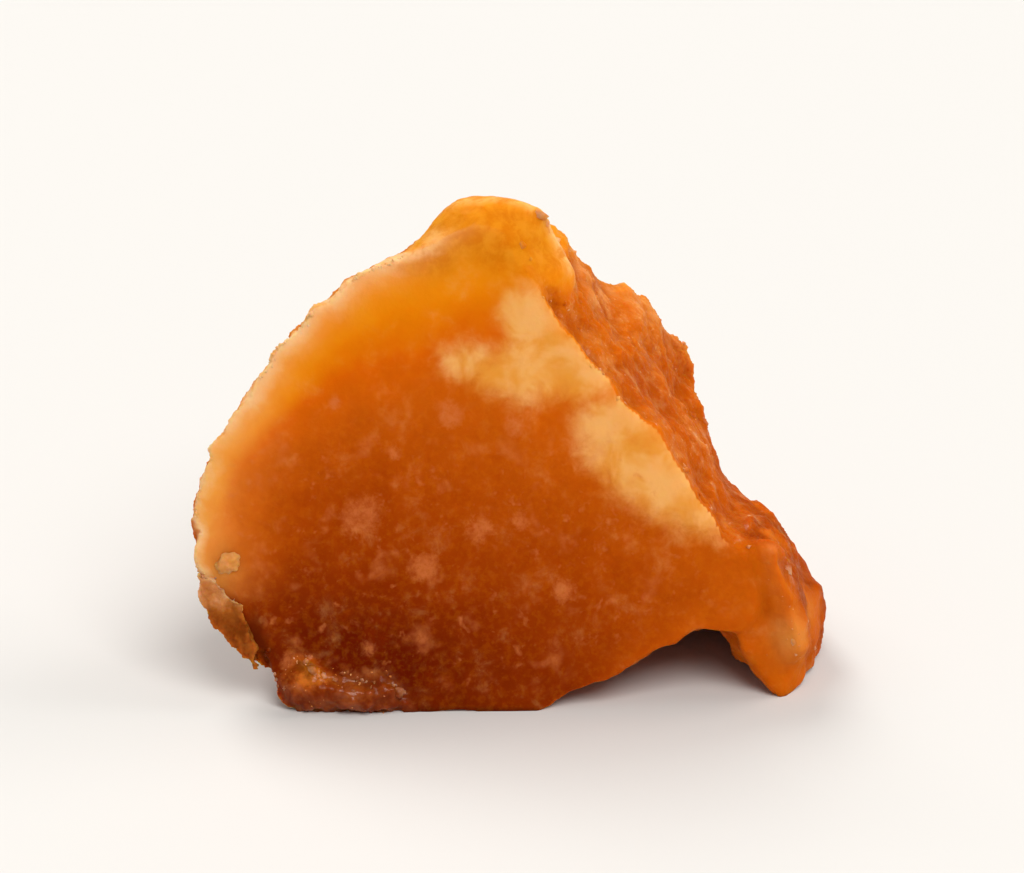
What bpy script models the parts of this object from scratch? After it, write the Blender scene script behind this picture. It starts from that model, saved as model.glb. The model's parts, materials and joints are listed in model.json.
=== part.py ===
"""Jaggery block: one broken lump of unrefined cane sugar that stands on its own flat underside.

The lump is a wedge. Its smooth cast face looks along -Y and leans back. It is thin along the upper left
and at the rounded knob on top, and thickens to the right and towards the base. The other sides are
broken. A foot flares out at the lower right past an undercut, and a lip and a flake hang on at the lower
left. Metres, +Z up, with the origin at the centre of the bounding box's bottom.
"""

import math

import bmesh
import bpy
from mathutils import Vector, noise

MM = 0.001

# Driving dimensions, in millimetres. The finished lump is fitted to these three.
WIDTH = 51.0
DEPTH = 31.0
HEIGHT = 38.8
FACE_LEAN = math.radians(15)  # how far the cast face leans back from upright
FACE_CROWN = 0.9  # how far the middle of the cast face stands proud of its edges
UNDER = -0.6  # the rough underside starts this far below the floor and is cut level with it

# Everything below is set out from the foot of the cast face, in millimetres: across, behind, up.

# The cast face's outline, as (across, up) on the leaning face, clockwise from the top.
FACE_OUTLINE = [
    (-4.4, 36.3),
    (-0.6, 37.7),
    (3.8, 32.9),
    (9.2, 25.9),
    (14.8, 20.0),
    (19.4, 13.9),
    (20.9, 8.1),
    (18.8, 6.7),
    (12.2, 2.9),
    (3.0, UNDER),
    (-12.0, UNDER),
    (-16.8, 2.5),
    (-20.0, 6.6),
    (-22.8, 11.8),
    (-23.6, 16.2),
    (-22.4, 19.8),
    (-16.8, 27.9),
    (-10.8, 33.4),
]

# The broken back's corners, in the same order.
BACK_CORNERS = [
    (-4.2, 14.6, 34.8),
    (0.6, 16.0, 36.4),
    (4.9, 18.3, 34.6),
    (9.8, 22.0, 29.3),
    (15.0, 26.0, 22.1),
    (17.1, 27.0, 19.4),
    (18.8, 27.5, 8.0),
    (17.5, 28.4, UNDER),
    (2.0, 29.4, UNDER),
    (-8.0, 26.5, UNDER),
    (-14.0, 20.5, 0.5),
    (-18.0, 14.5, 5.0),
    (-20.6, 10.2, 10.5),
    (-21.2, 9.6, 15.6),
    (-19.8, 10.0, 19.0),
    (-14.8, 12.6, 26.0),
    (-9.0, 13.8, 31.8),
]

# The foot that flares out at the lower right, nearly flush with the cast face. It runs on backwards
# along the whole right side.
FOOT_CORNERS = [
    (17.0, 3.3, 12.9),
    (18.9, 2.0, 6.9),
    (24.0, 2.0, UNDER),
    (25.2, 3.0, 3.4),
    (22.6, 4.1, 12.4),
    (26.8, 7.0, UNDER),
    (28.0, 9.0, 2.4),
    (27.4, 10.0, 5.2),
    (25.6, 11.0, 8.5),
    (23.0, 12.0, 11.6),
    (19.5, 13.0, 13.0),
    (18.3, 17.0, 13.4),
    (27.2, 14.0, 0.4),
    (24.6, 22.0, UNDER),
    (23.4, 20.5, 5.0),
    (20.6, 26.0, UNDER),
    (17.6, 26.0, 9.0),
    (16.0, 26.0, UNDER),
    (14.0, 7.0, 9.0),
]

# The flake that hangs on at the lower left.
FLAKE_CORNERS = [
    (-22.9, 4.2, 10.2),
    (-20.4, 2.2, 11.2),
    (-22.4, 3.8, 7.2),
    (-20.9, 3.0, 5.0),
    (-18.2, 1.8, 3.0),
    (-18.4, 1.0, 7.2),
    (-21.0, 6.5, 10.0),
    (-18.6, 5.0, 4.6),
    (-17.0, 5.0, 8.0),
]

# Rounded swellings, as (centre, radii): the knob, and the beads of the lip along the bottom edge.
SWELLINGS = {
    "knob": ((0.2, 12.7, 34.7), (5.3, 3.5, 3.8)),
    "neck": ((0.8, 12.6, 31.5), (6.6, 4.4, 4.4)),
    "lip_left": ((-13.2, 0.5, 1.6), (3.7, 1.9, 2.0)),
    "lip_middle": ((-9.2, 0.3, 1.1), (3.4, 1.7, 1.8)),
    "lip_right": ((-4.2, 0.4, 0.4), (3.6, 1.2, 1.4)),
}

# Shallow hollows where pieces broke away, each as (bearing, rise, width, depth). A line from the lump's
# middle at this bearing and rise, in degrees, meets the surface where the hollow is. Bearing 0 is +X.
CHIPS = [
    (168, 22, 5, 0.9),
    (128, 18, 17, 2.3),
    (150, -24, 14, 2.3),
    (103, 50, 12, 1.5),
    (74, 12, 17, 2.5),
    (96, -30, 13, 2.3),
    (48, -12, 13, 1.6),
    (18, 8, 11, 1.0),
    (36, 48, 11, 0.7),
    (20, -34, 8, 1.0),
]
MIDDLE = (1.0, 13.0, 15.0)
FACE_MIDDLE = (-3.0, 16.0)
FACE_REACH = 22.0

VOXEL = 0.7
SMOOTHING_STEPS = 7
TRIANGLES = 7600

COLOUR = (0.52, 0.13, 0.012, 1.0)
ROUGHNESS = 0.42


def clear_scene():
    for thing in list(bpy.data.objects):
        bpy.data.objects.remove(thing, do_unlink=True)


def on_face(across, up):
    """A point of the leaning cast face."""
    return (across, up * math.tan(FACE_LEAN), up)


def new_object(name, shape):
    mesh = bpy.data.meshes.new(name)
    shape.to_mesh(mesh)
    shape.free()
    thing = bpy.data.objects.new(name, mesh)
    bpy.context.scene.collection.objects.link(thing)
    return thing


def lump(name, corners):
    """A closed solid with flat broken faces between its corners."""
    shape = bmesh.new()
    for corner in corners:
        shape.verts.new(Vector(corner) * MM)
    made = bmesh.ops.convex_hull(shape, input=shape.verts)
    loose = [item for item in made["geom_interior"] if isinstance(item, bmesh.types.BMVert)]
    bmesh.ops.delete(shape, geom=loose, context="VERTS")
    bmesh.ops.recalc_face_normals(shape, faces=shape.faces)
    return new_object(name, shape)


def swelling(name, centre, radii):
    """A round solid, stretched along the axes."""
    shape = bmesh.new()
    bmesh.ops.create_icosphere(shape, subdivisions=3, radius=1.0)
    for point in shape.verts:
        point.co = Vector(c + r * p for c, r, p in zip(centre, radii, point.co)) * MM
    return new_object(name, shape)


def combine(block, helper, operation):
    """Adds or cuts away a helper, which itself stays out of the model."""
    helper.hide_render = True
    helper.display_type = "WIRE"
    step = block.modifiers.new(helper.name, "BOOLEAN")
    step.operation = operation
    step.solver = "EXACT"
    step.object = helper


def chip(block, name, bearing, rise, width, depth):
    """Cuts a shallow hollow with a large ball whose cap has the given width and depth."""
    bearing, rise = math.radians(bearing), math.radians(rise)
    level = math.cos(rise)
    outwards = Vector((level * math.cos(bearing), level * math.sin(bearing), math.sin(rise)))
    _, place, normal, _ = block.ray_cast(Vector(MIDDLE) * MM, outwards)
    radius = ((width / 2) ** 2 + depth**2) / (2 * depth)
    centre = place / MM + normal * (radius - depth)
    combine(block, swelling(name, centre, (radius,) * 3), "DIFFERENCE")


def keep_result(block):
    """Replaces the block's mesh by what its modifiers make of it."""
    bpy.context.view_layer.update()
    graph = bpy.context.evaluated_depsgraph_get()
    result = bpy.data.meshes.new_from_object(block.evaluated_get(graph), depsgraph=graph)
    block.modifiers.clear()
    block.data = result


def even_out(block):
    """Joins all that was combined into one skin of even squares, and rounds its edges a little."""
    skin = block.modifiers.new("even_skin", "REMESH")
    skin.mode = "VOXEL"
    skin.voxel_size = VOXEL * MM
    soften = block.modifiers.new("worn_edges", "SMOOTH")
    soften.factor = 0.5
    soften.iterations = SMOOTHING_STEPS


def share(value, low, high):
    """0 below low and 1 above high, eased in between."""
    part = min(max((value - low) / (high - low), 0.0), 1.0)
    return part * part * (3 - 2 * part)


def crown(place):
    """How far the cast face bulges here: most in its middle, nothing from the edges outwards."""
    away = math.hypot(place.x - FACE_MIDDLE[0], place.z - FACE_MIDDLE[1]) / FACE_REACH
    return FACE_CROWN * max(1.0 - away * away, 0.0)


def fracture(place):
    """How far a broken surface stands in or out here: broad waves with sharper ridges, in patches."""
    waves = noise.fractal(place / 11.0, 0.9, 2.1, 3)
    ridges = 0.25 - abs(noise.noise(place / 4.2 + Vector((7.0, 3.0, 1.0))))
    patch = share(noise.noise(place / 9.0 + Vector((31.0, 5.0, 12.0))), -0.35, 0.3)
    return (0.7 * waves + 1.1 * ridges) * (0.35 + 0.65 * patch)


def shape_surface(block):
    """Gives the cast face its slight crown, and every other side its broken surface."""
    outwards = Vector((0.0, -math.cos(FACE_LEAN), math.sin(FACE_LEAN)))
    moves = []
    for point in block.data.vertices:
        place = point.co / MM
        cast = share(point.normal.dot(outwards), 0.75, 0.95)
        lift = cast * crown(place) + (1.0 - 0.85 * cast) * fracture(place)
        moves.append(point.normal * lift * MM)
    for point, move in zip(block.data.vertices, moves):
        point.co += move


def thin_out(block):
    block.data.calc_loop_triangles()
    fewer = block.modifiers.new("fewer_faces", "DECIMATE")
    fewer.ratio = TRIANGLES / len(block.data.loop_triangles)
    fewer.use_collapse_triangulate = True


def level_base(block):
    """Cuts away what is below the floor."""
    shape = bmesh.new()
    bmesh.ops.create_cube(shape, size=4 * WIDTH * MM)
    bmesh.ops.translate(shape, verts=shape.verts, vec=(0.0, 0.0, -2 * WIDTH * MM))
    combine(block, new_object("floor_cutter", shape), "DIFFERENCE")


def fit_to_size(block):
    """Brings the box to the driving size, with the origin at the centre of its bottom."""
    points = [point.co for point in block.data.vertices]
    low = Vector(min(p[axis] for p in points) for axis in range(3))
    high = Vector(max(p[axis] for p in points) for axis in range(3))
    origin = Vector(((low.x + high.x) / 2, (low.y + high.y) / 2, low.z))
    size = high - low
    scale = Vector((WIDTH / size.x, DEPTH / size.y, HEIGHT / size.z)) * MM
    for point in block.data.vertices:
        point.co = (point.co - origin) * scale


def sugar_material():
    material = bpy.data.materials.new("jaggery")
    material.use_nodes = True
    shader = material.node_tree.nodes["Principled BSDF"]
    shader.inputs["Base Color"].default_value = COLOUR
    shader.inputs["Roughness"].default_value = ROUGHNESS
    shader.inputs["Metallic"].default_value = 0.0
    return material


def make_block():
    face = [on_face(across, up) for across, up in FACE_OUTLINE]
    block = lump("jaggery_block", face + BACK_CORNERS)
    bpy.context.view_layer.update()
    for number, sizes in enumerate(CHIPS, 1):
        chip(block, f"chip_{number}", *sizes)
    combine(block, lump("foot", FOOT_CORNERS), "UNION")
    combine(block, lump("flake", FLAKE_CORNERS), "UNION")
    for name, sizes in SWELLINGS.items():
        combine(block, swelling(name, *sizes), "UNION")
    even_out(block)
    keep_result(block)
    shape_surface(block)
    thin_out(block)
    level_base(block)
    keep_result(block)
    fit_to_size(block)
    block.data.materials.clear()
    block.data.materials.append(sugar_material())
    block.data.shade_smooth()


clear_scene()
make_block()
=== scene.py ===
"""The looks of a jaggery block, one broken lump of raw cane sugar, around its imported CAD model.

Metres, +Z up. The block stands on z = 0 and its smooth cast face looks along -Y and leans back.
"""

import json
import math

import bpy
import numpy as np
from mathutils import Matrix, Vector
from mathutils import noise as clump_noise
from mathutils.bvhtree import BVHTree
from mathutils.kdtree import KDTree

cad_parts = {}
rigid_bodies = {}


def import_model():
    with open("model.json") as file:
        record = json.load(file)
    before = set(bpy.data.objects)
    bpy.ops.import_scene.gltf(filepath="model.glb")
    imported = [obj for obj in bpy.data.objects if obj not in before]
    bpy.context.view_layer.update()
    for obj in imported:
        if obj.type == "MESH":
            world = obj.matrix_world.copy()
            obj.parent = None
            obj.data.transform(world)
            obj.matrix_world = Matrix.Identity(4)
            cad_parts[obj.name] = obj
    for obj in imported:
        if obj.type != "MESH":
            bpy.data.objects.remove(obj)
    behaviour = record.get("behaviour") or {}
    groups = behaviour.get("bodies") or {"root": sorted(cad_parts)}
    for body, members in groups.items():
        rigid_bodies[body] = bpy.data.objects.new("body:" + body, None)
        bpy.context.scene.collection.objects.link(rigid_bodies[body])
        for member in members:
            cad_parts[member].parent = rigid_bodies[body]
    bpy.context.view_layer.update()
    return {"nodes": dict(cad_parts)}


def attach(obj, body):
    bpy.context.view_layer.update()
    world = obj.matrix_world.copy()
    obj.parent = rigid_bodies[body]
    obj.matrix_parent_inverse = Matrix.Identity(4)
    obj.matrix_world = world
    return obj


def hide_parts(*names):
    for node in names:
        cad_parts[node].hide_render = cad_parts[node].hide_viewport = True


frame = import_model()

# ------------------------------------------------------------------------------------------------
# The lump. It is one wedge of raw cane sugar: the juice was boiled down and poured into a tray to
# set, and the slab was broken by hand. The front is the smooth face that set against the tray.
# Every other side is a fresh break, with sugar grains in it.

MM = 0.001
FACE_LEAN = math.radians(15)  # how far the cast face leans back from upright
FACE_OUT = np.array([0.0, -math.cos(FACE_LEAN), math.sin(FACE_LEAN)])
FACE_UP = np.array([0.0, math.sin(FACE_LEAN), math.cos(FACE_LEAN)])
SKIN = 0.235  # the side of one square of the fine skin, in millimetres
ROUNDING_STEPS = 14
CRACK_WIDTH, CRACK_DEPTH = 0.45, 3.2  # of the spike that cuts the crack, as radii
FACE_TRIM = 0.3  # how much is taken off the rounded face to give it a crisp edge again
MOST_TRIANGLES = 190_000


def work_on(thing):
    """Selects this object alone and makes it the active one."""
    if bpy.context.mode != "OBJECT":
        bpy.ops.object.mode_set(mode="OBJECT")
    for other in bpy.context.view_layer.objects:
        other.select_set(other == thing)
    bpy.context.view_layer.objects.active = thing


def apply_modifiers(thing):
    work_on(thing)
    for name in [modifier.name for modifier in thing.modifiers]:
        bpy.ops.object.modifier_apply(modifier=name)


def give_fine_skin(thing, size, rounding_steps):
    """An even skin of small squares with its corners rounded. Size is in millimetres."""
    skin = thing.modifiers.new("fine_skin", "REMESH")
    skin.mode = "VOXEL"
    skin.voxel_size = size * MM
    soften = thing.modifiers.new("rounding", "SMOOTH")
    soften.factor = 0.5
    soften.iterations = rounding_steps
    apply_modifiers(thing)


def read_vectors(thing, what):
    """The places ("co") or outward directions ("normal") of an object's points, one row each."""
    values = np.empty(len(thing.data.vertices) * 3, np.float32)
    thing.data.vertices.foreach_get(what, values)
    return values.reshape(-1, 3).astype(float)


def write_places(thing, places):
    thing.data.vertices.foreach_set("co", places.astype(np.float32).ravel())
    thing.data.update()


def ease(value, low, high):
    """0 at low and 1 at high, eased in between. High may be the smaller one."""
    part = np.clip((value - low) / (high - low), 0.0, 1.0)
    return part * part * (3 - 2 * part)


def clouds(places, size):
    """A smooth random value around 0 for each place. Size is in millimetres."""
    return np.array([clump_noise.noise(Vector(place) / (size * MM)) for place in places])


def on_face(places):
    """Each place as (across, up, out) in millimetres, as seen square on to the cast face."""
    return np.stack([places[:, 0], places @ FACE_UP, places @ FACE_OUT], 1) / MM


def curve_terms(across, up):
    return np.stack([np.ones_like(across), across, up, across**2, across * up, up**2], -1)


def fit_face(places, outwards):
    """The slightly crowned surface that follows the cast face, as the factors of curve_terms."""
    across, up, out = on_face(places).T
    flat = (outwards @ FACE_OUT > 0.97) & (up > 4) & (up < 36) & (across < 18)
    for _ in range(3):
        terms = curve_terms(across[flat], up[flat])
        factors = np.linalg.lstsq(terms, out[flat], rcond=None)[0]
        flat &= abs(out - curve_terms(across, up) @ factors) < 0.35
    return factors


node = frame["nodes"]["jaggery_block"]
lump = bpy.data.objects.new("jaggery_lump", node.data.copy())
bpy.context.scene.collection.objects.link(lump)
work_on(lump)
bpy.ops.object.mode_set(mode="EDIT")
bpy.ops.mesh.select_all(action="SELECT")
bpy.ops.mesh.remove_doubles(threshold=0.01 * MM)
bpy.ops.object.mode_set(mode="OBJECT")

coarse_places = read_vectors(lump, "co")
coarse_outwards = read_vectors(lump, "normal")
face_factors = fit_face(coarse_places, coarse_outwards)
inside = BVHTree.FromPolygons(
    [Vector(place) for place in coarse_places],
    [tuple(polygon.vertices) for polygon in lump.data.polygons],
)

# The crack beside the loose flake: a flat spike is cut out of the lump, its point up.
CRACK_TOP, CRACK_FOOT = (-21.0, 9.6), (-18.9, 1.6)


def face_place(across, height, lift=0.0):
    """The place of a point of the cast face, or of one lifted off it, in millimetres."""
    level = 0.0
    for _ in range(4):
        up = (height - level * FACE_OUT[2]) / FACE_UP[2]
        level = float(curve_terms(np.float64(across), np.float64(up)) @ face_factors)
    return np.array([across, 0, 0]) + FACE_UP * up + FACE_OUT * (level + lift)


crack_start, crack_end = face_place(*CRACK_FOOT), face_place(*CRACK_TOP)
crack_length = np.linalg.norm(crack_end - crack_start)
crack_way = (crack_end - crack_start) / crack_length
crack_side = np.cross(FACE_OUT, crack_way)
bpy.ops.mesh.primitive_cone_add(vertices=4, radius1=1.0, depth=1.0)
spike = bpy.context.object
spike.name = "crack_cutter"
axes = [crack_side * CRACK_WIDTH, FACE_OUT * CRACK_DEPTH, crack_way * crack_length]
axes = np.stack(axes, 1) * MM
spike.data.transform(Matrix.Translation((0, 0, 0.5)))
turned = Matrix(axes.tolist()).to_4x4()
turned.translation = crack_start * MM
spike.data.transform(turned)
work_on(spike)
bpy.ops.object.mode_set(mode="EDIT")
bpy.ops.mesh.select_all(action="SELECT")
bpy.ops.mesh.normals_make_consistent(inside=False)
bpy.ops.object.mode_set(mode="OBJECT")
crack = lump.modifiers.new("crack", "BOOLEAN")
crack.operation = "DIFFERENCE"
crack.solver = "EXACT"
crack.object = spike
apply_modifiers(lump)
bpy.data.objects.remove(spike)

give_fine_skin(lump, SKIN, ROUNDING_STEPS)

# The lip along the foot of the face, where syrup ran over and set again, as an outline on the face.
LIP = [
    (-18.8, -1.0),
    (-18.6, 2.4),
    (-17.2, 4.4),
    (-15.9, 4.3),
    (-14.6, 3.1),
    (-12.0, 2.7),
    (-9.8, 3.1),
    (-8.2, 1.8),
    (-7.4, -1.0),
]


def side_distance(place, start, end):
    """How far each place is from the straight side between two points."""
    side = end - start
    along = np.clip((place - start) @ side / (side @ side), 0, 1)
    return np.linalg.norm(place - start - along[:, None] * side, axis=1)


def inside_outline(across, height, outline):
    """How deep each place lies inside an outline on the face, in millimetres: below 0 outside."""
    corners = np.array(outline)
    nexts = np.roll(corners, -1, 0)
    place = np.stack([across, height], 1)
    nearest = np.full(len(place), 1e9)
    within = np.zeros(len(place), bool)
    for start, end in zip(corners, nexts):
        nearest = np.minimum(nearest, side_distance(place, start, end))
        crosses = (start[1] > height) != (end[1] > height)
        run, rise = end - start
        rise = rise if rise != 0 else 1.0
        within ^= crosses & (across < start[0] + (height - start[1]) / rise * run)
    return np.where(within, nearest, -nearest)


places = read_vectors(lump, "co")
across, up, out = on_face(places).T
level = curve_terms(across, up) @ face_factors - FACE_TRIM
proud = np.maximum(out - level, 0.0)
low_edge = ease(inside_outline(across, places[:, 2] / MM, LIP), -0.2, 0.7)
side_flake = ease(across, -17.0, -19.0) * ease(up, 14.0, 12.0)
beads = 0.6 * ease(proud, 0.2, 0.9) * np.maximum(low_edge, side_flake)
knob = ease(up, 31.0, 37.0)
places -= np.outer(proud * (1 - np.maximum(beads, knob)), FACE_OUT) * MM
write_places(lump, places)


def search_tree(places):
    """Finds the nearest of these places to any other."""
    tree = KDTree(len(places))
    for number, place in enumerate(places):
        tree.insert(place, number)
    tree.balance()
    return tree


def nearest_distance(from_places, to_places):
    """For each place, how far the nearest of the others is, in millimetres."""
    tree = search_tree(to_places)
    return np.array([tree.find(place)[2] for place in from_places]) / MM


def rim_distance(places):
    """How far each place is from the cast face's rim, in millimetres: below 0 off the face."""
    across, up, out = on_face(places).T
    below = curve_terms(across, up) @ face_factors - FACE_TRIM - out
    cast = below < 0.06
    off = (below > 0.15) & (below < 3.0)
    distance = np.zeros(len(places))
    distance[cast] = nearest_distance(places[cast], places[off])
    distance[~cast] = -nearest_distance(places[~cast], places[cast])
    return distance


def group_points(thing, name, shares):
    """A vertex group with a share from 0 to 1 for each point, in steps of a thirtieth."""
    group = thing.vertex_groups.new(name=name)
    steps = np.rint(np.clip(shares, 0, 1) * 30).astype(int)
    for step in range(1, 31):
        group.add(np.flatnonzero(steps == step).tolist(), step / 30, "REPLACE")


def displace(thing, name, group, size, height, kind="CLOUDS", **settings):
    """Raises and lowers the points of a group by a pattern. Size and height are in millimetres."""
    pattern = bpy.data.textures.new(name, kind)
    pattern.noise_scale = size * MM
    for setting, value in settings.items():
        setattr(pattern, setting, value)
    step = thing.modifiers.new(name, "DISPLACE")
    step.texture = pattern
    step.texture_coords = "LOCAL"
    step.vertex_group = group
    step.strength = height * MM
    step.mid_level = 0.5


# The foot's ridge, as (across, height), and how wide and how high it stands.
RIDGE = [(19.9, 13.6), (20.6, 11.0), (21.6, 7.6), (22.5, 4.2)]
RIDGE_WIDTH, RIDGE_HEIGHT = 1.6, 1.3


def line_distance(across, height, line):
    """How far each place is from a line of points, as seen from the front, in millimetres."""
    nearest = np.full(len(across), 1e9)
    place = np.stack([across, height], 1)
    for start, end in zip(np.array(line), np.array(line)[1:]):
        nearest = np.minimum(nearest, side_distance(place, start, end))
    return nearest


rim = rim_distance(places)
across, up = on_face(places).T[:2]
height, behind = places[:, 2] / MM, places[:, 1] / MM
outwards = read_vectors(lump, "normal")
ridge = np.maximum(1 - line_distance(across, height, RIDGE) / RIDGE_WIDTH, 0.0)
ridge *= ease(outwards[:, 1], 0.2, -0.3)
places += outwards * (RIDGE_HEIGHT * ridge * ease(behind, 4.0, 0.0))[:, None] * MM
write_places(lump, places)
outwards = read_vectors(lump, "normal")
worn = clouds(places, 7)
patchy = clouds(places, 2.5)
knob_height = height + 5.0 * worn + 2.5 * patchy
knob = ease(knob_height, 30.5, 36.0) * ease(across, 9.0, 4.0) * ease(behind, 8.0, 2.0)
foot = ease(across, 16.6, 18.2) * ease(height, 14.5, 12.5)
foot_front = foot * ease(-outwards[:, 1] + 0.4 * patchy, 0.35, 0.75)
smooth = np.maximum(ease(rim, -0.5, 0.1), np.maximum(knob, 0.7 * foot_front))
left_rim = ease(abs(rim + 0.2), 0.9, 0.2) * ease(across, -4.0, -9.0) * ease(up, 8.0, 11.0)
low_lip = ease(inside_outline(across, height, LIP), -0.4, 0.5) * ease(rim, -6.0, -4.0)
broken = ease(rim, -0.1, -0.9) * (1 - np.maximum(0.8 * knob, 0.35 * foot_front))
broken *= 1 - 0.3 * ease(across, 2.0, 8.0) * ease(behind, 12.0, 6.0)
grainy_part = broken * (0.35 + 0.65 * ease(worn, -0.25, 0.2))
grainy_part *= 1 - 0.45 * ease(across, 2.0, 8.0) * ease(behind, 12.0, 6.0)
kept = {"rim": rim, "smooth": smooth, "low_lip": low_lip, "knob": knob, "patchy": patchy}
kept["foot_front"] = foot * ease(-outwards[:, 1], 0.0, 0.5)
group_points(lump, "grainy_part", grainy_part)
group_points(lump, "broken", broken)
group_points(lump, "cast_face", ease(rim, 0.3, 2.5))
group_points(lump, "left_rim", left_rim)
group_points(lump, "low_lip", low_lip)
displace(lump, "broken_waves", "broken", 4.2, 1.9, noise_depth=3)
displace(lump, "broken_steps", "broken", 2.6, 0.8, "VORONOI", weight_1=-1.0, weight_2=1.0)
displace(lump, "broken_pits", "grainy_part", 1.3, 0.5, "VORONOI")
stucco = {"stucci_type": "WALL_OUT", "turbulence": 5}
displace(lump, "sugar_grains", "grainy_part", 0.7, 0.4, "STUCCI", **stucco)
displace(lump, "fine_grains", "grainy_part", 0.35, 0.16, noise_depth=1)
displace(lump, "face_swells", "cast_face", 5.0, 0.35, noise_depth=1)
displace(lump, "face_dimples", "cast_face", 1.1, 0.05, noise_depth=2)
displace(lump, "rim_crumbs", "left_rim", 0.45, -0.28, "VORONOI")
displace(lump, "lip_swells", "low_lip", 1.8, 0.8, noise_depth=1)
displace(lump, "lip_grains", "low_lip", 0.6, -0.35, "VORONOI")
apply_modifiers(lump)
kept["raised"] = np.sum((read_vectors(lump, "co") - places) * outwards, 1) / MM

lump.data.calc_loop_triangles()
if len(lump.data.loop_triangles) > MOST_TRIANGLES:
    before = search_tree(read_vectors(lump, "co"))
    fewer = lump.modifiers.new("fewer_faces", "DECIMATE")
    fewer.ratio = MOST_TRIANGLES / len(lump.data.loop_triangles)
    apply_modifiers(lump)
    nearest = [before.find(place)[1] for place in read_vectors(lump, "co")]
    kept = {name: values[nearest] for name, values in kept.items()}
# The lowest grains are pressed flat, since the block rests on them.
PRESSED_FLAT = 0.12
places = read_vectors(lump, "co")
places[:, 2] = np.where(places[:, 2] < PRESSED_FLAT * MM, 0.0, places[:, 2])
write_places(lump, places)


def add_shares(thing, name, shares):
    """An attribute with one number for each point, for the material to read."""
    attribute = thing.data.attributes.new(name, "FLOAT", "POINT")
    attribute.data.foreach_set("value", np.asarray(shares, np.float32))


def ways_round(count):
    """Directions spread evenly over a ball."""
    steps = np.arange(count) + 0.5
    rise = np.arccos(1 - 2 * steps / count)
    turn = math.pi * (1 + math.sqrt(5)) * steps
    return np.stack([np.sin(rise) * np.cos(turn), np.sin(rise) * np.sin(turn), np.cos(rise)], 1)


def light_through(places, outwards, ways, strengths, fade):
    """How much light comes to each place through the sugar. It fades every fade millimetres."""
    total = np.zeros(len(places))
    for number, (place, outward) in enumerate(zip(places, outwards)):
        start = Vector(place - outward * 0.5 * MM)
        for way, strength in zip(ways, strengths):
            reached = inside.ray_cast(start, way)[3]
            if reached is not None:
                total[number] += strength * math.exp(-reached / MM / fade)
    return total / strengths.sum()


def spread_values(from_places, values, to_places, width):
    """The values of some places, smoothly carried over to others. Width is in millimetres."""
    tree = search_tree(from_places)
    spread = np.empty(len(to_places))
    for number, place in enumerate(to_places):
        near = tree.find_n(place, 8)
        shares = np.exp([-((found[2] / MM / width) ** 2) for found in near]) + 1e-9
        spread[number] = shares @ values[[found[1] for found in near]] / shares.sum()
    return spread


# Light comes through the sugar most from behind, from the left and from above.
LIGHT_FROM = np.array([-0.55, 0.45, 0.7]) / np.linalg.norm([-0.55, 0.45, 0.7])
FADE_TOWARDS_LIGHT, FADE_ALL_ROUND = 6.0, 5.0  # in millimetres of sugar
ways = ways_round(90)
lit = ways @ LIGHT_FROM > 0.2
towards_light = (ways[lit] @ LIGHT_FROM) ** 2
from_light = light_through(
    coarse_places, coarse_outwards, ways[lit], towards_light, FADE_TOWARDS_LIGHT
)
fewer_ways = ways[::2]
alike = np.ones(len(fewer_ways))
all_round = light_through(coarse_places, coarse_outwards, fewer_ways, alike, FADE_ALL_ROUND)
from_light = spread_values(coarse_places, from_light, places, 1.4)
all_round = spread_values(coarse_places, all_round, places, 1.4)

# The pale streak of uncoloured sugar along the right edge, in two parts, as outlines on the face.
STREAK_TOP = [
    (-0.3, 32.5),
    (1.3, 32.8),
    (3.6, 30.3),
    (5.4, 28.6),
    (8.0, 26.0),
    (6.9, 25.2),
    (5.9, 24.6),
    (3.1, 24.8),
    (0.7, 24.8),
    (-1.9, 25.4),
    (-4.7, 26.6),
    (-5.3, 27.8),
    (-3.5, 28.4),
    (-1.3, 27.6),
    (-0.1, 28.8),
    (-0.9, 30.7),
]
STREAK_LOW = [
    (6.3, 23.9),
    (9.0, 24.4),
    (11.3, 22.3),
    (13.7, 19.7),
    (16.1, 17.6),
    (18.0, 15.6),
    (17.1, 13.8),
    (14.1, 14.2),
    (11.3, 15.4),
    (8.5, 17.6),
    (6.3, 19.7),
    (5.5, 22.5),
]
# The outline of the loose flake, which shades the lump behind it.
FLAKE = [
    (-24.9, 10.9),
    (-23.5, 10.6),
    (-22.5, 9.4),
    (-21.3, 8.6),
    (-20.8, 7.2),
    (-20.2, 5.2),
    (-20.3, 3.4),
    (-21.5, 4.4),
    (-22.9, 5.9),
    (-24.2, 7.5),
    (-25.0, 9.1),
]
# Small cloudy spots of fine grain just under the cast face, as (across, height, size).
SPOTS = [
    (-11.9, 15.4, 2.2),
    (-2.5, 14.4, 1.3),
    (0.7, 15.0, 1.0),
    (-6.9, 11.5, 1.6),
    (4.1, 9.5, 1.2),
    (-11.3, 5.2, 1.0),
    (-17.9, 4.0, 0.8),
    (-13.9, 24.2, 0.8),
    (-9.3, 20.3, 0.8),
    (-4.9, 23.3, 1.4),
    (0.1, 22.3, 1.1),
]

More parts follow.
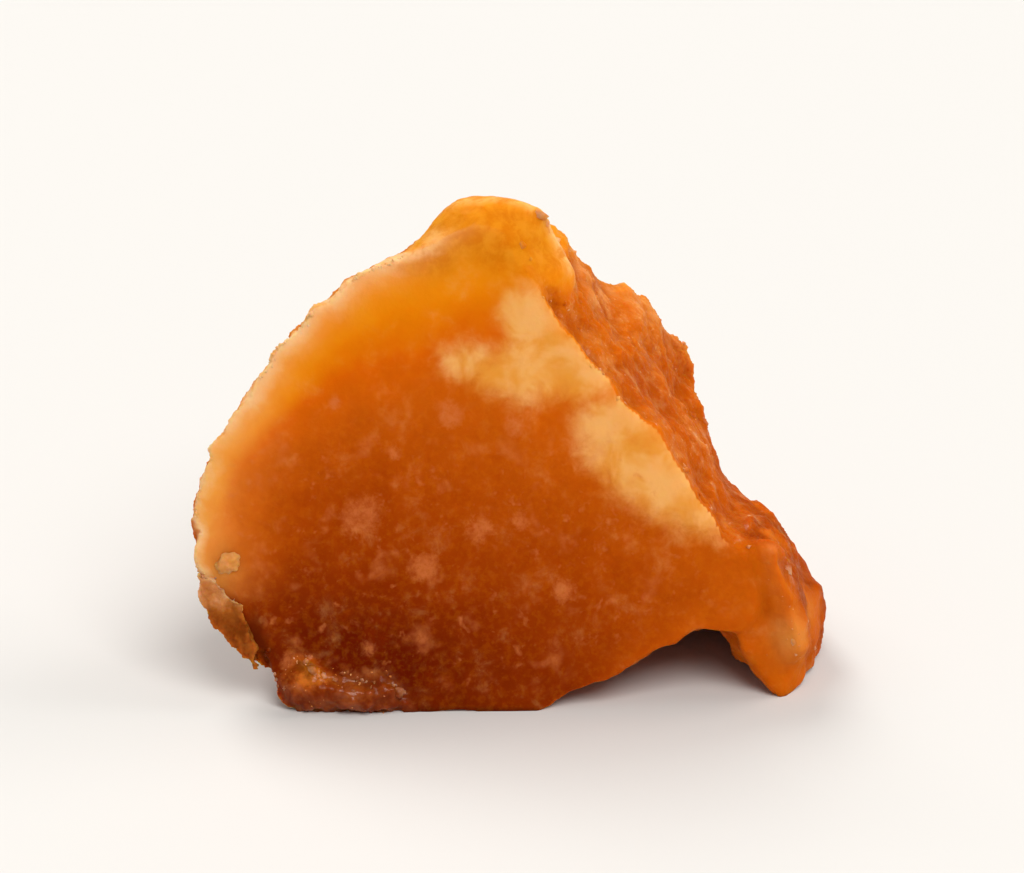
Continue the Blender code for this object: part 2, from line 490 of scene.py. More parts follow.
rim, smooth, low_lip_now = kept["rim"], kept["smooth"], kept["low_lip"]
across = places[:, 0] / MM
height = places[:, 2] / MM
cast = ease(rim, -0.25, 0.15)
left = ease(across, 0.0, -8.0) * ease(height, 8.0, 11.0)
# Painted shade at the low left of the face.
painted_shade_low_left = np.exp(-(((across + 13) / 10) ** 2) - ((height - 3) / 6) ** 2)
# The glow is painted light, standing in for light through the sugar; lighter higher up.
glow_smooth = 0.81 * from_light + 0.0153 * height + 0.0094 * across - 0.02 - 0.2 * painted_shade_low_left
# More painted light along the thin left edge, at the left middle and along the lower right edge.
glow_smooth += 0.22 * np.exp(-np.maximum(rim, 0) / 4.0) * left
glow_smooth += 0.14 * np.exp(-(((across + 20.5) / 3.5) ** 2) - ((height - 14) / 3.5) ** 2)
low_right = ease(across, 4.0, 10.0) * ease(height, 13.0, 8.0)
glow_smooth += 0.2 * np.exp(-np.maximum(rim, 0) / 2.0) * low_right
upper_edge = np.exp(-np.maximum(rim, 0) / 1.8) * left * ease(height, 19.0, 25.0)
glow_smooth += 0.15 * upper_edge
# The painted light is held lower on the right.
most_right = 0.54 + 0.05 * ease(across, 17.5, 20.5)
most = np.where(across > 14, most_right, 0.88 + 0.12 * upper_edge)
glow_smooth = np.minimum(glow_smooth, most)
# On the breaks the painted light is lighter higher up, with painted shade towards the right.
glow_broken = (all_round - 0.3) / 0.35 + 0.02 * (height - 23)
glow_broken = glow_broken - 0.35 * ease(across, 17.0, 20.0)
glow_broken += (0.56 - glow_broken) * kept["foot_front"]
# Painted shade down the crack.
crack_shade = ease(line_distance(across, height, [CRACK_TOP, CRACK_FOOT]), 0.7, 0.2)
crack_shade *= ease(height, 9.5, 6.0)
streak = np.maximum(
    ease(inside_outline(across, height, STREAK_TOP), -2.0, 1.4),
    ease(inside_outline(across, height, STREAK_LOW), -2.4, 1.8),
)
spots = np.zeros(len(places))
for x, z, size in SPOTS:
    spots = np.maximum(spots, np.exp(-(((across - x) ** 2 + (height - z) ** 2) / size**2)))
glow = smooth * glow_smooth + (1 - smooth) * glow_broken
# On the lip the glow becomes painted light, strongest towards its left end, with painted shade at
# its foot.
glow += (np.exp(-(((across + 16) / 2.2) ** 2)) * ease(height, 1.2, 3.0) - glow) * low_lip_now
add_shares(lump, "glow", np.clip(glow, 0, 1))
add_shares(lump, "smooth", smooth)
add_shares(lump, "raised", np.clip(0.5 + kept["raised"] / 1.4, 0, 1))
add_shares(lump, "knob", kept["knob"] * ease(height, 31.0, 35.0))
add_shares(lump, "streak", streak * cast)
add_shares(lump, "spots", spots * cast)
# Painted light along the thin left edge, as if lit from behind; the band is wider lower down.
band_width = 0.95 + 1.15 * ease(height, 27.0, 17.0)
add_shares(lump, "painted_edge_light", np.exp(-((np.maximum(rim, 0) / band_width) ** 1.4)) * cast * left)
# The crumbly pale rim: pale grains, partly painted light from behind through the thin edge.
rim_on_face = ease(rim + 0.8 * kept["patchy"], 1.0, 0.2)
rim_off_face = ease(rim + 1.4 * kept["patchy"], -1.5, -0.2)
rim_share = np.where(rim > 0, rim_on_face, rim_off_face)
add_shares(lump, "rim", rim_share * ease(across, -4.0, -8.0) * ease(height, 8.0, 11.0))
add_shares(lump, "face_low", cast * ease(height, 26.0, 18.0) * ease(rim, 0.5, 3.0))
# Painted shadow under the loose flake.
under_flake = ease(inside_outline(across, height, FLAKE), -0.5, 0.1)
under_flake *= ease(places[:, 1] / MM, 2.0, -4.0)
add_shares(lump, "shaded", np.maximum(under_flake * ease(height, 8.5, 6.0), crack_shade))
add_shares(lump, "moist", kept["low_lip"])
# A painted highlight at the low end of the foot and along its ridge.
foot_highlight_shape = np.exp(-(((across - 22.2) / 1.4) ** 2) - ((height - 5.2) / 1.8) ** 2)
foot_highlight_shape = np.maximum(foot_highlight_shape, 0.18 * ease(line_distance(across, height, RIDGE), 1.0, 0.3))
add_shares(lump, "painted_foot_highlight", kept["foot_front"] * ease(across, 17.5, 20.0) * foot_highlight_shape)
# The crest: the top outline of the lump, where the sugar is thin and its grains show pale.
crest = []
for step in np.arange(-5.0, 19.0, 0.5):
    near = np.flatnonzero(abs(across - step) < 0.3)
    crest.append(places[near[height[near].argmax()]])
crest_distance = nearest_distance(places, crest)
crest_width = 0.5 + 0.7 * ease(across, 1.0, 5.0)
crest_share = np.exp(-((crest_distance / crest_width) ** 2)) * ease(height, 17.0, 23.0)
add_shares(lump, "crest", crest_share * (0.5 + 0.5 * ease(across, 1.0, 4.0)))


def screen(red, green, blue):
    """A colour as a screen shows it, in the linear values that a shader takes."""
    values = [value / 255 for value in (red, green, blue)]
    return (*[v / 12.92 if v <= 0.04045 else ((v + 0.055) / 1.055) ** 2.4 for v in values], 1.0)


def add_node(tree, kind, inputs=None, **settings):
    """A shader node. Its inputs are given by name or number, as values or as feeding sockets."""
    made = tree.nodes.new(kind)
    for setting, value in settings.items():
        setattr(made, setting, value)
    for name, value in (inputs or {}).items():
        if isinstance(value, bpy.types.NodeSocket):
            tree.links.new(value, made.inputs[name])
        else:
            made.inputs[name].default_value = value
    return made


def attribute(tree, name):
    return add_node(tree, "ShaderNodeAttribute", attribute_name=name).outputs["Fac"]


def calculate(tree, operation, first, second=0.0, third=0.0):
    inputs = {0: first, 1: second, 2: third}
    return add_node(tree, "ShaderNodeMath", inputs, operation=operation).outputs[0]


def remap(tree, value, low, high, new_low=0.0, new_high=1.0):
    inputs = {"Value": value, 1: low, 2: high, 3: new_low, 4: new_high}
    kind = "ShaderNodeMapRange"
    return add_node(tree, kind, inputs, interpolation_type="SMOOTHSTEP").outputs["Result"]


def blend(tree, share, first, second):
    inputs = {0: share, 6: first, 7: second}
    return add_node(tree, "ShaderNodeMix", inputs, data_type="RGBA").outputs[2]


def colour_ramp(tree, value, stops):
    ramp = add_node(tree, "ShaderNodeValToRGB", {"Fac": value})
    colours = ramp.color_ramp.elements
    while len(colours) < len(stops):
        colours.new(0.5)
    for element, (place, colour) in zip(colours, stops):
        element.position = place
        element.color = colour
    return ramp.outputs["Color"]


def noise(tree, where, size, detail=2.0, roughness=0.5, warp=0.0):
    """Cloudy noise around 0.5. Size is in millimetres."""
    inputs = {"Vector": where, "Scale": 1 / (size * MM), "Detail": detail}
    inputs.update({"Roughness": roughness, "Distortion": warp})
    return add_node(tree, "ShaderNodeTexNoise", inputs).outputs["Fac"]


def mix_values(tree, share, first, second):
    return add_node(tree, "ShaderNodeMix", {0: share, 2: first, 3: second}).outputs[0]


# The look of raw sugar, as a node group: the lump and its crumbs both use it.
raw_sugar = bpy.data.node_groups.new("raw_sugar", "ShaderNodeTree")
raw_sugar.interface.new_socket(name="Pale grains", in_out="INPUT", socket_type="NodeSocketFloat")
for name in ("Colour", "Roughness", "Gloss", "Relief"):
    kind = "NodeSocketColor" if name == "Colour" else "NodeSocketFloat"
    raw_sugar.interface.new_socket(name=name, in_out="OUTPUT", socket_type=kind)
tree = raw_sugar
given = add_node(tree, "NodeGroupInput").outputs
where = add_node(tree, "ShaderNodeTexCoord").outputs["Object"]
glow = attribute(tree, "glow")
smooth_share = attribute(tree, "smooth")
high = add_node(tree, "ShaderNodeSeparateXYZ", {0: where}).outputs["Z"]
cloudy = noise(tree, where, 3.2, 3.0, 0.55, 0.4)
ragged = noise(tree, where, 1.5, 4.0, 0.65, 0.3)
grainy = noise(tree, where, 0.6, 3.0, 0.65)
fine = noise(tree, where, 0.25, 2.0, 0.6)

# The smooth sugar: from deep red-brown where it is thick to yellow amber where light comes through.
wavering = calculate(tree, "MULTIPLY_ADD", cloudy, 0.16, calculate(tree, "SUBTRACT", glow, 0.08))
smooth_colour = colour_ramp(
    tree,
    wavering,
    [
        (0.0, screen(104, 22, 2)),
        (0.2, screen(138, 44, 2)),
        (0.4, screen(174, 70, 4)),
        (0.55, screen(199, 90, 8)),
        (0.7, screen(219, 100, 4)),
        (0.85, screen(233, 132, 5)),
        (1.0, screen(240, 154, 20)),
    ],
)
mottle = remap(tree, grainy, 0.42, 0.72, 0.0, 0.1)
smooth_colour = blend(tree, mottle, smooth_colour, screen(236, 138, 20))
darker = remap(tree, ragged, 0.5, 0.3, 0.0, 0.22)
darker = calculate(tree, "MULTIPLY", darker, remap(tree, glow, 0.7, 0.4))
smooth_colour = blend(tree, darker, smooth_colour, screen(150, 48, 3))
# Painted light along the thin left edge, paler higher up.
edge_light_value = remap(tree, cloudy, 0.2, 0.6, 0.7, 1.0)
edge_light_value = calculate(tree, "MULTIPLY", attribute(tree, "painted_edge_light"), edge_light_value)
upper = remap(tree, high, 19 * MM, 27 * MM)
edge_light_colour = blend(tree, upper, screen(240, 172, 84), screen(251, 203, 150))
smooth_colour = blend(tree, edge_light_value, smooth_colour, edge_light_colour)

# The breaks: orange, pinkish tan patches, pale grains, painted shade in pits; lighter high up.
BREAK_LOW, BREAK_HIGH = 9 * MM, 25 * MM
patches = noise(tree, where, 4.5, 4.0, 0.6, 0.8)
break_value = calculate(
    tree, "MULTIPLY_ADD", patches, 0.8, calculate(tree, "MULTIPLY_ADD", glow, 0.6, -0.2)
)
break_colour = colour_ramp(
    tree,
    break_value,
    [
        (0.0, screen(130, 46, 2)),
        (0.3, screen(186, 80, 2)),
        (0.5, screen(197, 91, 3)),
        (0.7, screen(206, 105, 10)),
        (1.0, screen(228, 144, 40)),
    ],
)
tan = remap(tree, high, BREAK_LOW, BREAK_HIGH, 0.12, 1.0)
tan = calculate(tree, "MULTIPLY", tan, remap(tree, ragged, 0.42, 0.66, 0.0, 0.65))
break_colour = blend(tree, tan, break_colour, screen(208, 114, 40))
speckle = remap(tree, noise(tree, where, 0.4, 2.0, 0.6), 0.56, 0.72)
pale_grains = calculate(tree, "MULTIPLY", speckle, remap(tree, ragged, 0.4, 0.62, 0.15, 1.0))
grain_share = calculate(tree, "MULTIPLY", pale_grains, given["Pale grains"])
more_grains = remap(tree, high, BREAK_LOW, BREAK_HIGH, 0.3, 1.1)
grain_share = calculate(tree, "MULTIPLY", grain_share, more_grains)
break_colour = blend(tree, grain_share, break_colour, screen(234, 166, 104))
# Painted shade in the hollows of the breaks and painted light on their bumps.
raised = calculate(tree, "SUBTRACT", attribute(tree, "raised"), 0.15)
raised = calculate(tree, "MULTIPLY_ADD", grainy, 0.3, raised)
painted_pit_shade = remap(tree, raised, 0.45, 0.1, 0.0, 0.55)
break_colour = blend(tree, painted_pit_shade, break_colour, screen(160, 60, 2))
painted_bump_light = remap(tree, high, BREAK_LOW, BREAK_HIGH, 0.08, 0.55)
painted_bump_light = calculate(tree, "MULTIPLY", painted_bump_light, remap(tree, raised, 0.55, 0.9))
break_colour = blend(tree, painted_bump_light, break_colour, screen(227, 142, 64))
crest_value = remap(tree, ragged, 0.35, 0.6, 0.1, 0.6)
crest_value = calculate(tree, "MULTIPLY", attribute(tree, "crest"), crest_value)
break_colour = blend(tree, crest_value, break_colour, screen(230, 152, 84))
colour = blend(tree, smooth_share, break_colour, smooth_colour)

# The pale streak, the cloudy spots, the lip, the crumbly pale rim (partly painted light) and the
# dry flake.
streak_cloud = calculate(tree, "MULTIPLY", ragged, 0.9)
streak_cloud = calculate(tree, "MULTIPLY_ADD", cloudy, 0.7, streak_cloud)
streak_value = calculate(
    tree, "ADD", streak_cloud, calculate(tree, "SUBTRACT", attribute(tree, "streak"), 0.8)
)
streak_share = remap(tree, streak_value, 0.0, 1.0, 0.0, 0.94)
streak_paleness = remap(tree, cloudy, 0.35, 0.65)
streak_colour = blend(tree, streak_paleness, screen(234, 158, 60), screen(243, 182, 106))
colour = blend(tree, streak_share, colour, streak_colour)
spot_edge = calculate(tree, "MULTIPLY_ADD", grainy, 0.7, -1.1)
spot_edge = calculate(tree, "MULTIPLY_ADD", ragged, 1.5, spot_edge)
spot_edge = calculate(tree, "MULTIPLY_ADD", attribute(tree, "spots"), 1.2, spot_edge)
spot_value = remap(tree, spot_edge, 0.45, 1.2)
near_spots = remap(tree, attribute(tree, "spots"), 0.0, 0.3)
spot_value = calculate(tree, "MULTIPLY", spot_value, near_spots)
for size, least, share in ((2.4, 0.55, 0.95), (1.1, 0.58, 1.0), (0.5, 0.62, 0.45)):
    blobs = remap(tree, noise(tree, where, size, 2.5, 0.6, 0.25), least, least + 0.24, 0.0, share)
    blobs = calculate(tree, "MULTIPLY", blobs, attribute(tree, "face_low"))
    spot_value = calculate(tree, "MAXIMUM", spot_value, blobs)
spot_grain = remap(tree, fine, 0.3, 0.6, 0.38, 0.58)
spot_value = calculate(tree, "MULTIPLY", spot_value, spot_grain)
colour = blend(tree, spot_value, colour, screen(214, 122, 64))
knob_share = calculate(tree, "MULTIPLY", attribute(tree, "knob"), 0.65)
knob_paleness = remap(tree, ragged, 0.35, 0.65)
knob_colour = blend(tree, knob_paleness, screen(206, 114, 10), screen(224, 147, 32))
colour = blend(tree, knob_share, colour, knob_colour)
knob_edge = calculate(tree, "MULTIPLY", crest_value, 1.8)
knob_edge = calculate(tree, "MULTIPLY", knob_edge, attribute(tree, "knob"))
colour = blend(tree, knob_edge, colour, screen(244, 190, 116))
# The painted highlight on the foot.
foot_highlight_share = remap(tree, cloudy, 0.3, 0.6, 0.5, 1.0)
foot_highlight_share = calculate(tree, "MULTIPLY", attribute(tree, "painted_foot_highlight"), foot_highlight_share)
colour = blend(tree, foot_highlight_share, colour, screen(226, 144, 64))
moist = attribute(tree, "moist")
# The lip's colour follows that painted light.
lip_value = remap(tree, glow, 0.1, 0.8, 0.35, 1.0)
lip_value = calculate(tree, "MULTIPLY", remap(tree, ragged, 0.35, 0.65), lip_value)
lip_colour = blend(tree, lip_value, screen(118, 40, 3), screen(200, 104, 28))
colour = blend(tree, calculate(tree, "MULTIPLY", moist, 0.85), colour, lip_colour)
shade = calculate(tree, "MULTIPLY", attribute(tree, "shaded"), 0.8)
colour = blend(tree, shade, colour, screen(92, 26, 4))
# The dry flake and crumbs: pale dry grains, partly painted highlight.
dry = attribute(tree, "dry")
paleness_and_highlight = attribute(tree, "paleness_and_highlight")
dry_value = calculate(tree, "MULTIPLY_ADD", paleness_and_highlight, 0.6, -0.3)
dry_value = calculate(tree, "MULTIPLY_ADD", ragged, 0.8, dry_value)
dry_colour = colour_ramp(
    tree,
    dry_value,
    [
        (0.05, screen(128, 58, 12)),
        (0.3, screen(166, 90, 30)),
        (0.55, screen(200, 130, 74)),
        (0.85, screen(228, 178, 138)),
    ],
)
colour = blend(tree, dry, colour, dry_colour)
# The crumbly pale rim, partly painted light from behind.
rim_value = remap(tree, ragged, 0.35, 0.6, 0.35, 0.95)
rim_value = calculate(tree, "MULTIPLY", attribute(tree, "rim"), rim_value)
colour = blend(tree, rim_value, colour, screen(246, 196, 140))

smooth_roughness = remap(tree, cloudy, 0.3, 0.7, 0.36, 0.5)
break_roughness = remap(tree, grainy, 0.3, 0.7, 0.42, 0.7)
roughness = mix_values(tree, smooth_share, break_roughness, smooth_roughness)
roughness = mix_values(tree, dry, roughness, 0.6)
roughness = mix_values(tree, moist, roughness, 0.25)
gloss = calculate(tree, "SUBTRACT", 1.0, smooth_share)
gloss = calculate(tree, "MULTIPLY", gloss, remap(tree, ragged, 0.54, 0.66, 0.0, 0.2))
moist_gloss = calculate(tree, "MULTIPLY", moist, remap(tree, ragged, 0.4, 0.6, 0.15, 0.5))
gloss = calculate(tree, "MAXIMUM", gloss, moist_gloss)
smooth_relief = calculate(tree, "MULTIPLY", grainy, 0.22)
smooth_relief = calculate(tree, "MULTIPLY_ADD", fine, 0.12, smooth_relief)
break_relief = calculate(tree, "MULTIPLY_ADD", fine, 0.3, grainy)
break_relief = calculate(tree, "MULTIPLY_ADD", pale_grains, 0.2, break_relief)
relief = mix_values(tree, smooth_share, break_relief, smooth_relief)
results = {"Colour": colour, "Roughness": roughness, "Gloss": gloss, "Relief": relief}
add_node(tree, "NodeGroupOutput", results)


def sugar_material(name, pale_grains, depth):
    """Raw sugar. Light goes about this many millimetres into it."""
    made = bpy.data.materials.new(name)
    made.use_nodes = True
    tree = made.node_tree
    shader = tree.nodes["Principled BSDF"]
    look = add_node(tree, "ShaderNodeGroup", {}, node_tree=raw_sugar)
    look.inputs["Pale grains"].default_value = pale_grains
    tree.links.new(look.outputs["Colour"], shader.inputs["Base Color"])
    tree.links.new(look.outputs["Roughness"], shader.inputs["Roughness"])
    tree.links.new(look.outputs["Gloss"], shader.inputs["Coat Weight"])
    bump = add_node(tree, "ShaderNodeBump", {"Strength": 0.7, "Distance": 0.25 * MM})
    tree.links.new(look.outputs["Relief"], bump.inputs["Height"])
    tree.links.new(bump.outputs["Normal"], shader.inputs["Normal"])
    shader.inputs["Coat Roughness"].default_value = 0.15
    shader.inputs["Specular IOR Level"].default_value = 0.04
    shader.inputs["Specular Tint"].default_value = (1.0, 0.55, 0.2, 1)
    shader.inputs["IOR"].default_value = 1.5
    shader.subsurface_method = "RANDOM_WALK"
    shader.inputs["Subsurface Weight"].default_value = 0.5
    shader.inputs["Subsurface Radius"].default_value = (1.0, 0.33, 0.08)
    shader.inputs["Subsurface Scale"].default_value = depth * MM
    return made


sugar = sugar_material("jaggery", 0.4, 2.5)
lump.data.materials.clear()
lump.data.materials.append(sugar)
lump.data.shade_smooth()
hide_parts("jaggery_block")
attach(lump, "root")

# ------------------------------------------------------------------------------------------------
# The loose flake at the lower left. It is a dry, half split shard of the same sugar that hangs on
# beside the crack: the break lifted it, and its grains show pale.
# Its top and outline are paler still, by painted highlight.

FLAKE_SINK, FLAKE_THICKNESS = 1.3, 1.7  # how deep its back lies, and how thick it is
FLAKE_SKIN, FLAKE_ROUNDING_STEPS = 0.16, 10

bpy.ops.object.select_all(action="DESELECT")
bpy.ops.mesh.primitive_circle_add(vertices=len(FLAKE), radius=0.01, fill_type="NGON")
shard = bpy.context.object
shard.name = "jaggery_flake"
for point, (x, z) in zip(shard.data.vertices, FLAKE):
    point.co = face_place(x, z, -FLAKE_SINK + 0.1 * (x + 22.5)) * MM
work_on(shard)
bpy.ops.object.mode_set(mode="EDIT")
bpy.ops.mesh.select_all(action="SELECT")
bpy.ops.mesh.extrude_region_move(
    TRANSFORM_OT_translate={"value": FACE_OUT * FLAKE_THICKNESS * MM}
)
bpy.ops.mesh.select_all(action="SELECT")
bpy.ops.mesh.normals_make_consistent(inside=False)
bpy.ops.object.mode_set(mode="OBJECT")
# The thick nub of pale sugar that sits on the face just above it, mostly sunk in.
NUB_RADII = (1.3 * MM, 1.1 * MM, 1.2 * MM)
bpy.ops.mesh.primitive_ico_sphere_add(subdivisions=3, radius=1.0)
nub = bpy.context.object
nub.data.transform(Matrix.Diagonal((*NUB_RADII, 1.0)))
nub.data.transform(Matrix.Translation(face_place(-22.4, 11.5, -0.7) * MM))
shard.select_set(True)
bpy.context.view_layer.objects.active = shard
bpy.ops.object.join()
give_fine_skin(shard, FLAKE_SKIN, FLAKE_ROUNDING_STEPS)
group_points(shard, "all", np.ones(len(shard.data.vertices)))
displace(shard, "shard_lumps", "all", 1.6, 0.9, noise_depth=2)
displace(shard, "shard_splits", "all", 0.9, 0.45, "VORONOI", weight_1=-1.0, weight_2=1.0)
displace(shard, "shard_grains", "all", 0.4, -0.25, "VORONOI")
apply_modifiers(shard)
shard_places = read_vectors(shard, "co")
shard_height = shard_places[:, 2] / MM
edge_depth = inside_outline(shard_places[:, 0] / MM, shard_height, FLAKE)
# Paler along the outline and towards the top: pale dry grains, partly painted highlight.
pale = 0.3 * ease(edge_depth, 0.8, 0.0) + 0.65 * ease(shard_height, 7.0, 9.2)
on_nub = ease(shard_height, 10.3, 11.0)
add_shares(shard, "dry", 1 - 0.5 * on_nub)
# The nub takes a little of the painted edge light.
add_shares(shard, "painted_edge_light", 0.3 * on_nub)
add_shares(shard, "glow", np.full(len(shard_places), 0.85))
add_shares(shard, "smooth", np.ones(len(shard_places)))
add_shares(shard, "paleness_and_highlight", pale)
shard.data.materials.append(sugar)
shard.data.shade_smooth()
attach(shard, "root")

# ------------------------------------------------------------------------------------------------
# The crumbs. They are small grains of the same sugar that the break knocked loose and that stuck
# on: fine ones on the left rim, others beside the flake, along the lip and the right edge, and
# here and there on the breaks.

dice = np.random.default_rng(7)
outwards = read_vectors(lump, "normal")


def scatter(name, shapes, spots, sizes, sink, stretch):
    """One object of many small copies of some shapes, stuck on the lump and turned at random."""
    corners, sides, spot_of_corner = [], [], []
    first = 0
    for spot, size in zip(spots, sizes):
        shape_corners, shape_sides = shapes[dice.integers(len(shapes))]
        turn = Vector(dice.normal(size=3)).to_track_quat("Z", "Y").to_matrix()
        turn = np.array(turn) * dice.uniform(1 - stretch, 1 + stretch, 3)
        at = places[spot] - outwards[spot] * size * sink * MM
        corners.append(shape_corners @ turn.T * size / 2 * MM + at)
        spot_of_corner += [spot] * len(shape_corners)
        sides += [[first + corner for corner in side] for side in shape_sides]
        first += len(shape_corners)
    mesh = bpy.data.meshes.new(name)
    mesh.from_pydata(np.concatenate(corners).tolist(), [], sides)
    made = bpy.data.objects.new(name, mesh)
    bpy.context.scene.collection.objects.link(made)
    for shares in lump.data.attributes:
        if shares.data_type == "FLOAT":
            values = np.empty(len(places), np.float32)
            shares.data.foreach_get("value", values)
            add_shares(made, shares.name, values[spot_of_corner])
    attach(made, "root")
    return made


def shape_of(thing):
    """A small model's corners and sides. The model itself is taken away."""
    shape = read_vectors(thing, "co"), [tuple(side.vertices) for side in thing.data.polygons]
    bpy.data.objects.remove(thing)
    return shape


crumb_shapes = []
for number in range(5):
    bpy.ops.mesh.primitive_ico_sphere_add(subdivisions=2, radius=1.0)
    crumb = bpy.context.object
    pattern = bpy.data.textures.new("crumb_lumps", "CLOUDS")
    pattern.noise_scale = 0.7
    step = crumb.modifiers.new("crumb_lumps", "DISPLACE")
    step.texture = pattern
    step.strength = 1.3
    fewer = crumb.modifiers.new("fewer_faces", "DECIMATE")
    fewer.ratio = 0.45
    crumb.data.transform(Matrix.Translation((3.0 * number, 0, 0)))
    apply_modifiers(crumb)
    crumb.data.transform(Matrix.Translation((-3.0 * number, 0, 0)))
    crumb_shapes.append(shape_of(crumb))


def pick(shares, count):
    """Points of the lump, drawn with these chances."""
    return dice.choice(len(shares), count, replace=False, p=shares / shares.sum())


places = read_vectors(lump, "co")
behind = places[:, 1] / MM
clumps = clouds(places, 1.6)
left_edge = ease(abs(rim), 0.7, 0.1) * ease(across, -6.0, -9.0)
left_edge = left_edge * ease(height, 9.0, 12.0) * ease(clumps, -0.1, 0.4)
lip_edge = np.exp(-((inside_outline(across, height, LIP) / 0.5) ** 2))
lip_edge = lip_edge * ease(rim, -2.0, 0.0) * ease(height, 0.8, 1.6)
flake_edge = np.exp(-((inside_outline(across, height, FLAKE) / 0.6) ** 2))
flake_edge = flake_edge * ease(behind, 6.0, 0.0)
on_breaks = (1 - smooth) * ease(clumps, 0.0, 0.5) * ease(height, 0.6, 1.5)
right_edge = ease(abs(rim + 0.5), 1.5, 0.2) * ease(across, 0.0, 2.0)
right_edge = right_edge * ease(height, 12.0, 16.0) * ease(clumps, -0.1, 0.3)
RIM_CRUMBS = 90
chosen_points = []
for shares, count in (
    (left_edge, RIM_CRUMBS),
    (lip_edge, 30),
    (flake_edge, 30),
    (on_breaks, 200),
    (right_edge, 30),
):
    chosen_points.append(pick(shares, count))
chosen_points = np.concatenate(chosen_points)
sizes = 0.22 + 0.5 * dice.random(len(chosen_points)) ** 2
sizes[:RIM_CRUMBS] *= 0.55  # the first ones lie on the left rim and are finer
# A few larger ones: right of the knob and on the foot's edge, as (x, y, z, size).
LARGE_CRUMBS = [
    (2.3, -1.5, 37.4, 1.1),
    (3.1, -1.2, 36.6, 0.8),
    (4.6, 0.5, 35.4, 0.7),
    (23.1, -10.0, 10.9, 0.8),
    (24.6, -9.5, 5.8, 0.7),
    (22.4, -12.0, 5.0, 0.6),
    (22.6, -12.0, 3.9, 0.5),
]
for *spot, size in LARGE_CRUMBS:
    away = np.linalg.norm(places - np.array(spot) * MM, axis=1)
    chosen_points = np.append(chosen_points, away.argmin())
    sizes = np.append(sizes, size)
crumbs = scatter("jaggery_crumbs", crumb_shapes, chosen_points, sizes, 0.25, 0.4)
crumb_places = read_vectors(crumbs, "co")
large = np.zeros(len(crumb_places))
for *spot, size in LARGE_CRUMBS:
    at = places[np.linalg.norm(places - np.array(spot) * MM, axis=1).argmin()]
    large[np.linalg.norm(crumb_places - at, axis=1) < size * MM] = 0.4
# Paleness of the crumbs: dry grains, partly painted highlight on the larger ones.
waver = clouds(crumb_places, 0.8)
add_shares(crumbs, "dry", np.clip(0.2 + 0.7 * waver + 0.7 * large, 0, 1))
add_shares(crumbs, "paleness_and_highlight", np.clip(0.95 + 0.6 * waver + 0.3 * large, 0, 1.3))
crumbs.data.materials.append(sugar_material("jaggery_crumb", 0.8, 0.25))
crumbs.data.shade_smooth()

# ------------------------------------------------------------------------------------------------
# The sugar crystals. They are tiny clear grains that stand free of the breaks, the rim, the lip
# and the foot. They grew in the syrup as it set, and their flat sides glint.

bpy.ops.object.select_all(action="DESELECT")
bpy.ops.mesh.primitive_cube_add(size=1.0)
crystal = bpy.context.object
crystal.name = "crystal_pattern"
work_on(crystal)
bpy.ops.object.mode_set(mode="EDIT")
bpy.ops.mesh.select_all(action="SELECT")
bpy.ops.transform.resize(value=(0.8, 0.6, 1.2))
bpy.ops.mesh.bevel(offset=0.12, segments=1, affect="EDGES")
bpy.ops.object.mode_set(mode="OBJECT")
crystal_shapes = [shape_of(crystal)]

on_breaks = (1 - smooth) * (0.02 + ease(clumps, 0.1, 0.5)) * ease(height, 0.4, 1.2)
kink = np.exp(-((np.hypot(across - 17.9, height - 17.4) / 0.9) ** 2))
foot_glints = np.exp(-((line_distance(across, height, RIDGE[1:]) / 0.6) ** 2))
foot_glints = foot_glints * ease(behind, 4.0, 0.0)
chosen_points, sizes = [], []
SMALLEST_CRYSTAL = 0.12
for shares, count, largest in (
    (on_breaks, 330, 0.34),
    (left_edge, 50, 0.17),
    (lip_edge, 36, 0.4),
    (low_lip_now, 40, 0.34),
    (kink, 14, 0.45),
    (foot_glints, 36, 0.5),
):
    chosen_points.append(pick(shares, count))
    spare = largest - SMALLEST_CRYSTAL
    sizes.append(SMALLEST_CRYSTAL + spare * dice.random(count) ** 1.5)
chosen_points = np.concatenate(chosen_points)
sizes = np.concatenate(sizes)
crystals = scatter("sugar_crystals", crystal_shapes, chosen_points, sizes, 0.1, 0.25)

clear_sugar = bpy.data.materials.new("clear_sugar")
clear_sugar.use_nodes = True
tree = clear_sugar.node_tree
shader = tree.nodes["Principled BSDF"]
where = add_node(tree, "ShaderNodeTexCoord").outputs["Object"]
cloudy = noise(tree, where, 1.2, 2.0)
colour = colour_ramp(
    tree,
    cloudy,
    [(0.3, screen(206, 106, 24)), (0.55, screen(222, 134, 56)), (0.75, screen(242, 186, 122))],
)
# On the left rim the crystals are paler, partly painted light from behind.
colour = blend(tree, attribute(tree, "rim"), colour, screen(250, 212, 168))
tree.links.new(colour, shader.inputs["Base Color"])
roughness = remap(tree, noise(tree, where, 0.3), 0.3, 0.7, 0.08, 0.3)
tree.links.new(roughness, shader.inputs["Roughness"])
shader.inputs["Specular IOR Level"].default_value = 0.5
shader.inputs["Coat Weight"].default_value = 0.3
shader.inputs["Coat Roughness"].default_value = 0.1
crystals.data.materials.append(clear_sugar)

# ------------------------------------------------------------------------------------------------
# The studio. The floor is one wide matt disc, and three large soft lamps stand round the block.
# The camera looks at the cast face from a little above.

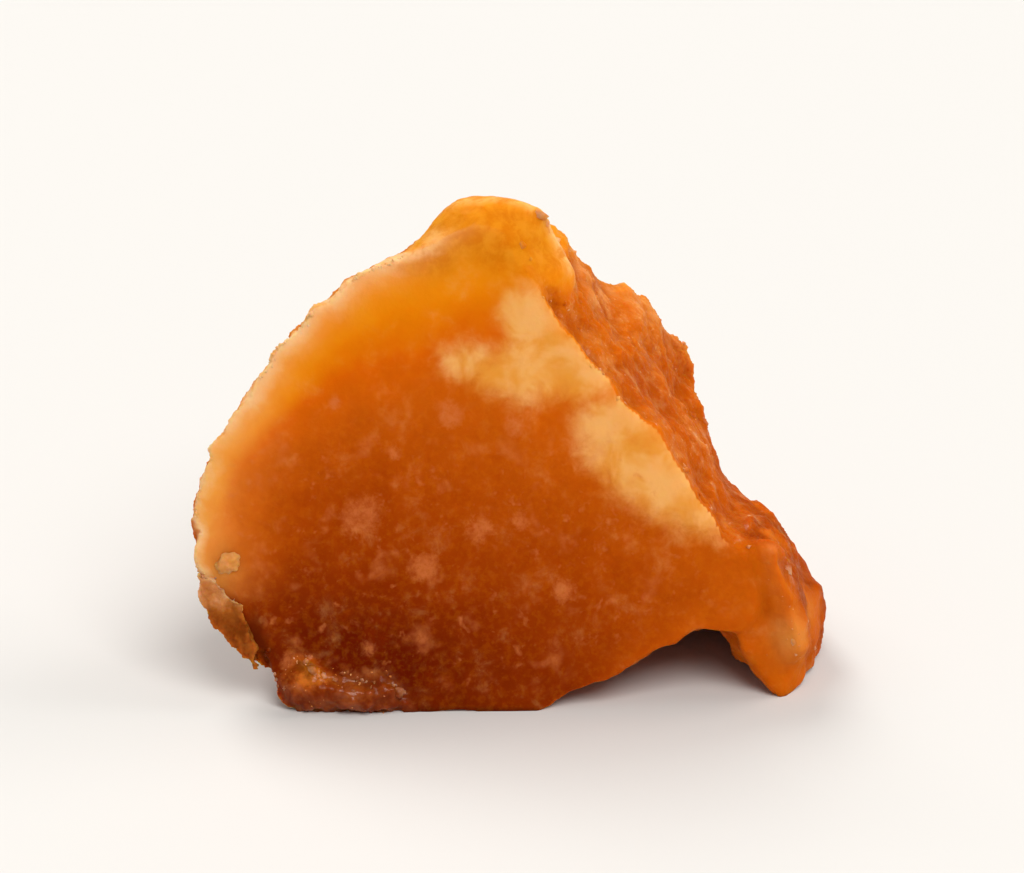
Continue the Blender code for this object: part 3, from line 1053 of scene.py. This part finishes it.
work_on(lump)
bpy.ops.mesh.primitive_circle_add(vertices=96, radius=1.5, fill_type="NGON")
floor = bpy.context.object
floor.name = "floor"
floor_material = bpy.data.materials.new("pale_floor")
floor_material.use_nodes = True
shader = floor_material.node_tree.nodes["Principled BSDF"]
shader.inputs["Base Color"].default_value = (0.7, 0.69, 0.67, 1)
shader.inputs["Roughness"].default_value = 0.8
floor.data.materials.append(floor_material)


def soft_light(name, azimuth, elevation, distance, size, power, colour):
    """A square lamp that shines on the block's middle. Azimuth 0 is in front, 90 to the right."""
    lamp = bpy.data.lights.new(name, "AREA")
    lamp.size = size
    lamp.energy = power
    lamp.color = colour
    holder = bpy.data.objects.new(name, lamp)
    bpy.context.scene.collection.objects.link(holder)
    turn, rise = math.radians(azimuth), math.radians(elevation)
    towards = Vector(
        (math.sin(turn) * math.cos(rise), -math.cos(turn) * math.cos(rise), math.sin(rise))
    )
    holder.location = towards * distance + Vector((0, 0, 0.015))
    holder.rotation_euler = towards.to_track_quat("Z", "Y").to_euler()


soft_light("key", 215, 50, 6.0, 3.0, 216, (1.0, 0.97, 0.93))
soft_light("front_fill", 25, 55, 7.2, 4.2, 346, (1.0, 0.98, 0.96))
soft_light("side_fill", 105, 35, 7.2, 3.6, 173, (1.0, 0.98, 0.96))

world = bpy.data.worlds.new("studio")
bpy.context.scene.world = world
world.use_nodes = True
# The surroundings give weak light, but show as pale as the floor.
tree = world.node_tree
surroundings = tree.nodes["Background"]
surroundings.inputs["Color"].default_value = (1.0, 0.99, 0.97, 1)
seen = add_node(tree, "ShaderNodeLightPath").outputs["Is Camera Ray"]
tree.links.new(mix_values(tree, seen, 0.3, 0.95), surroundings.inputs["Strength"])

CAMERA_RISE = math.radians(25)
CAMERA_DISTANCE = 0.5
LOOKED_AT = Vector((0, 0, 0.0175))  # a little below the block's middle

camera = bpy.data.cameras.new("camera")
camera.lens = 219
camera.sensor_width = 36
holder = bpy.data.objects.new("camera", camera)
bpy.context.scene.collection.objects.link(holder)
back = Vector((0, -math.cos(CAMERA_RISE), math.sin(CAMERA_RISE)))
holder.location = LOOKED_AT + back * CAMERA_DISTANCE
holder.rotation_euler = back.to_track_quat("Z", "Y").to_euler()
camera.clip_start, camera.clip_end = 0.01, 20
bpy.context.scene.camera = holder
bpy.context.scene.view_settings.view_transform = "Standard"
